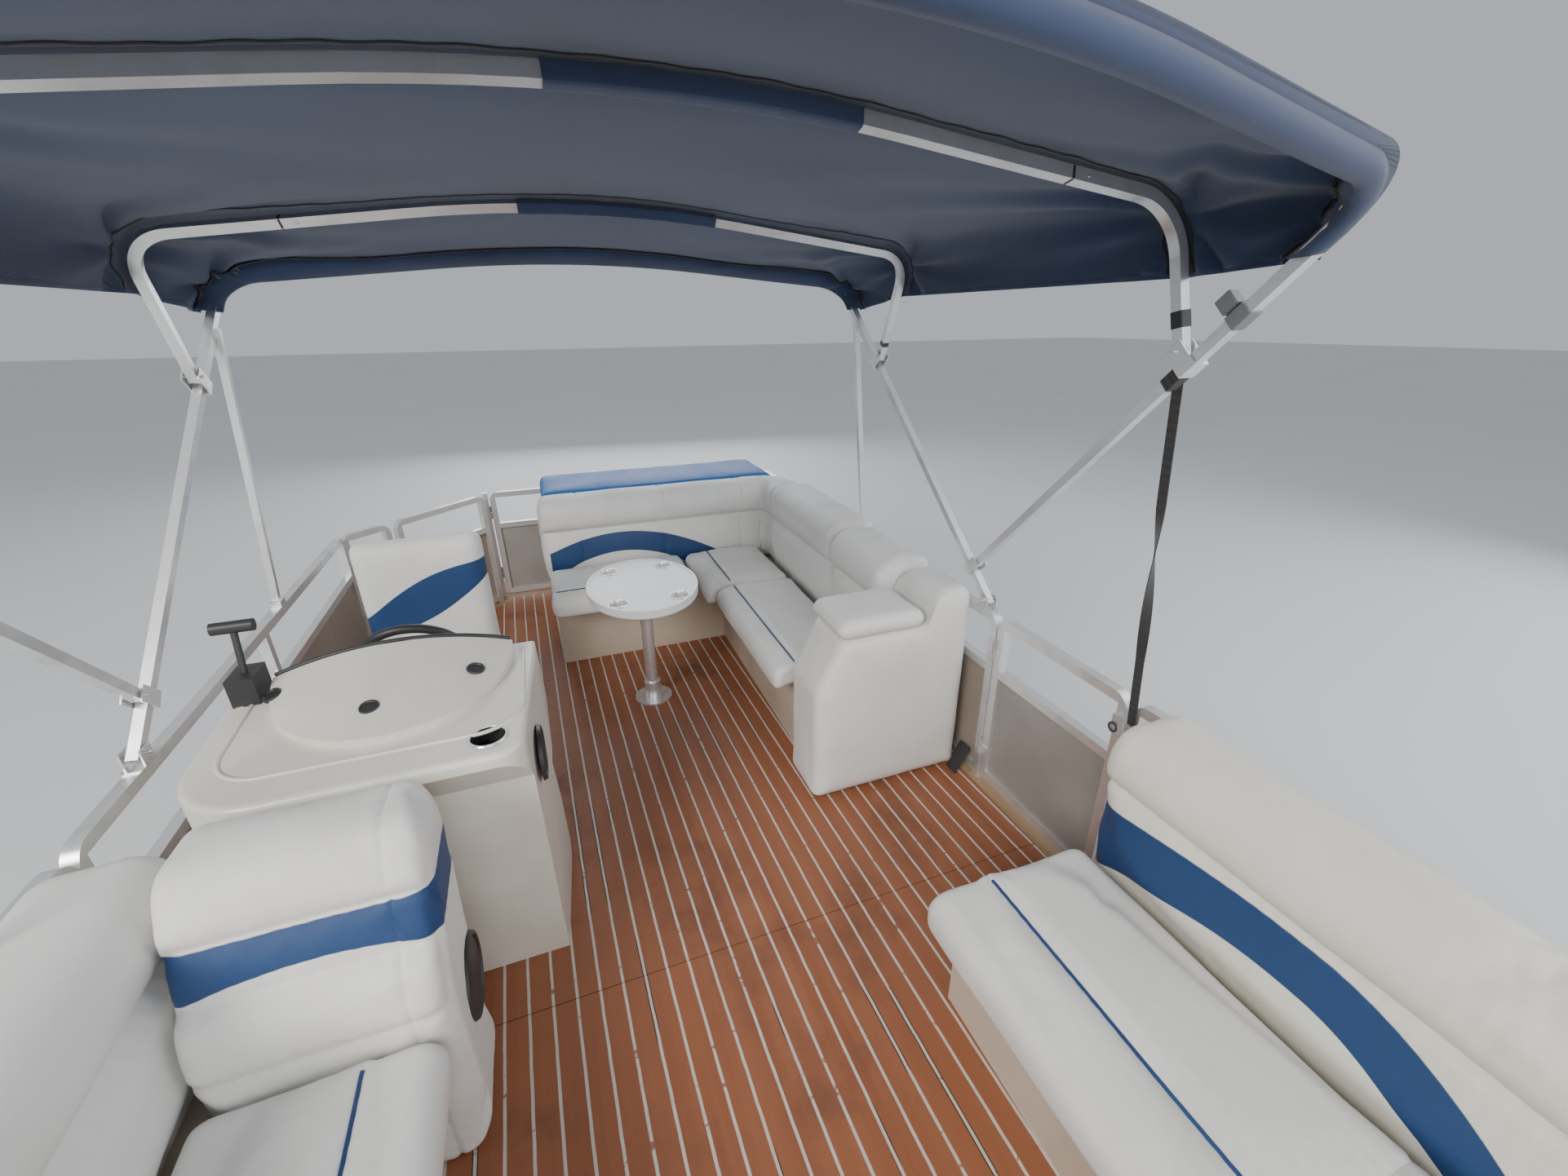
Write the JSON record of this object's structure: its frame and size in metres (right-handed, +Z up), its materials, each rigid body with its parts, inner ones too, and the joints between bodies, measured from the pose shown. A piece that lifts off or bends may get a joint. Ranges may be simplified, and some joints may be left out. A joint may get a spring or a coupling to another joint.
{
  "type": "pontoon boat",
  "caption": "Family pontoon boat: two round floats under a railed deck with lounges, helm console, chair, table, folding canvas top and an outboard motor tilted up.",
  "frame": {"origin": "middle of the whole boat's box, on the bottom of the keels", "axes": "+Z up, +Y towards the stern, +X to port"},
  "size_m": [2.59, 7.1084, 2.8271],
  "materials": {
    "hull_aluminium": "mill finish, slightly oxidised",
    "rail_aluminium": "satin anodised tube",
    "panel_paint": "ribbed taupe baked enamel",
    "deck_wood": "treated plywood",
    "teak_sheet": "worn teak-look sheet with pale lines",
    "gelcoat": "aged white gelcoat",
    "base_plastic": "tan moulded seat base",
    "white_vinyl": "soft white marine vinyl with blue trim",
    "blue_vinyl": "bright blue marine vinyl",
    "canvas": "navy woven acrylic canvas",
    "webbing": "black polyester webbing",
    "stainless": "stainless steel",
    "table_metal": "polished aluminium post",
    "black_plastic": "black moulded plastic",
    "motor_paint": "gloss dark grey enamel",
    "engine_metal": "cast block",
    "propeller_metal": "dark enamel on cast aluminium"
  },
  "bodies": {
    "hull": {"floats": "hull_aluminium", "cross_beams": "hull_aluminium", "deck_panel": "deck_wood", "edge_rails": "hull_aluminium", "floor_sheets": "teak_sheet", "fence_front": "rail_aluminium", "fence_starboard": "rail_aluminium", "fence_quarter": "rail_aluminium", "fence_port": "rail_aluminium", "fence_stern": "rail_aluminium", "fence_skins": "panel_paint", "gate_hinges": "stainless", "console": "gelcoat", "console_cowl": "gelcoat", "helm_fittings": "black_plastic", "chair_pedestal": "stainless", "table_top": "gelcoat", "table_leg": "table_metal", "bow_bases": "base_plastic", "bow_backs": "white_vinyl", "aft_base": "base_plastic", "aft_arm": "white_vinyl", "aft_seat_corner": "white_vinyl", "aft_backs": "white_vinyl", "stern_locker": "gelcoat", "sun_pad": "blue_vinyl", "top_rear_bow": "rail_aluminium", "top_mounts": "stainless", "top_braces": "rail_aluminium", "top_canopy": "canvas", "motor_pod": "hull_aluminium", "cleats": "stainless"},
    "gate_port": {"gate_port": "rail_aluminium"},
    "gate_bow": {"gate_bow": "rail_aluminium"},
    "gate_stern": {"gate_stern": "rail_aluminium"},
    "bow_port_lid": {"bow_port_seat": "white_vinyl"},
    "bow_starboard_lid": {"bow_starboard_seat": "white_vinyl"},
    "aft_port_lid": {"aft_seat_port": "white_vinyl"},
    "stern_lid": {"aft_seat_stern": "white_vinyl"},
    "chair": {"chair_frame": "black_plastic", "chair_cushions": "white_vinyl"},
    "wheel": {"steering_wheel": "black_plastic"},
    "top_front": {"top_front_bow": "rail_aluminium", "top_straps": "webbing"},
    "top_inner_rear": {"top_inner_rear_bow": "rail_aluminium"},
    "top_inner_front": {"top_inner_front_bow": "rail_aluminium"},
    "motor_bracket": {"motor_swivel": "motor_paint"},
    "motor": {"motor_leg": "motor_paint", "motor_cowl": "motor_paint", "motor_engine": "engine_metal"},
    "propeller": {"propeller": "propeller_metal"}
  },
  "joints": [
    {"name": "gate_port_swing", "type": "hinge", "parent": "hull", "child": "gate_port", "pos_m": [1.212, -0.66924, 1.071], "axis": [0, 0, -1], "range_deg": [0, 90]},
    {"name": "gate_bow_swing", "type": "hinge", "parent": "hull", "child": "gate_bow", "pos_m": [0.325, -2.89124, 1.071], "axis": [0, 0, -1], "range_deg": [0, 90]},
    {"name": "gate_stern_swing", "type": "hinge", "parent": "hull", "child": "gate_stern", "pos_m": [-0.58, 2.00876, 1.071], "axis": [0, 0, 1], "range_deg": [0, 90]},
    {"name": "bow_port_lid", "type": "hinge", "parent": "hull", "child": "bow_port_lid", "pos_m": [0.957, -2.05424, 1.215], "axis": [0, 1, 0], "range_deg": [0, 70]},
    {"name": "bow_starboard_lid", "type": "hinge", "parent": "hull", "child": "bow_starboard_lid", "pos_m": [-0.957, -2.05424, 1.215], "axis": [0, -1, 0], "range_deg": [0, 70]},
    {"name": "aft_port_lid", "type": "hinge", "parent": "hull", "child": "aft_port_lid", "pos_m": [0.922, 0.14576, 1.215], "axis": [0, 1, 0], "range_deg": [0, 70]},
    {"name": "stern_lid", "type": "hinge", "parent": "hull", "child": "stern_lid", "pos_m": [0, 1.18776, 1.215], "axis": [-1, 0, 0], "range_deg": [0, 70]},
    {"name": "chair_swivel", "type": "hinge", "parent": "hull", "child": "chair", "pos_m": [-0.73, 0.20576, 1.105], "axis": [0, 0, 1], "continuous": true},
    {"name": "top_fold", "type": "hinge", "parent": "hull", "child": "top_front", "pos_m": [0, -0.51696, 1.63809], "axis": [-1, 0, 0], "range_deg": [0, 81], "deforming": ["top_canopy", "top_straps"]},
    {"name": "inner_rear_fold", "type": "hinge", "parent": "hull", "child": "top_inner_rear", "pos_m": [0, 0.14644, 2.32506], "axis": [-1, 0, 0], "range_deg": [0, 73.01]},
    {"name": "inner_front_fold", "type": "hinge", "parent": "top_front", "child": "top_inner_front", "pos_m": [0, -1.21841, 2.39328], "axis": [1, 0, 0], "range_deg": [0, 56.01]},
    {"name": "motor_tilt", "type": "hinge", "parent": "hull", "child": "motor_bracket", "pos_m": [0, 2.62776, 0.805], "axis": [-1, 0, 0], "range_deg": [0, 62]},
    {"name": "motor_steer", "type": "hinge", "parent": "motor_bracket", "child": "motor", "pos_m": [0, 2.76065, 0.84193], "axis": [0, -0.8829, 0.4695], "range_deg": [-32, 32]},
    {"name": "propeller_spin", "type": "hinge", "parent": "motor", "child": "propeller", "pos_m": [0, 3.44199, 0.7175], "axis": [0, 0.4695, 0.8829], "continuous": true},
    {"name": "helm_turn", "type": "hinge", "parent": "hull", "child": "wheel", "pos_m": [-0.69, -0.22424, 1.475], "axis": [0, 0.9063, 0.4226], "range_deg": [-540, 540]}
  ],
  "couplings": [
    {"joint": "helm_turn", "follows": "motor_steer", "ratio": -16.875},
    {"joint": "inner_rear_fold", "follows": "top_fold", "ratio": 0.90124},
    {"joint": "inner_front_fold", "follows": "top_fold", "ratio": 0.69136}
  ]
}
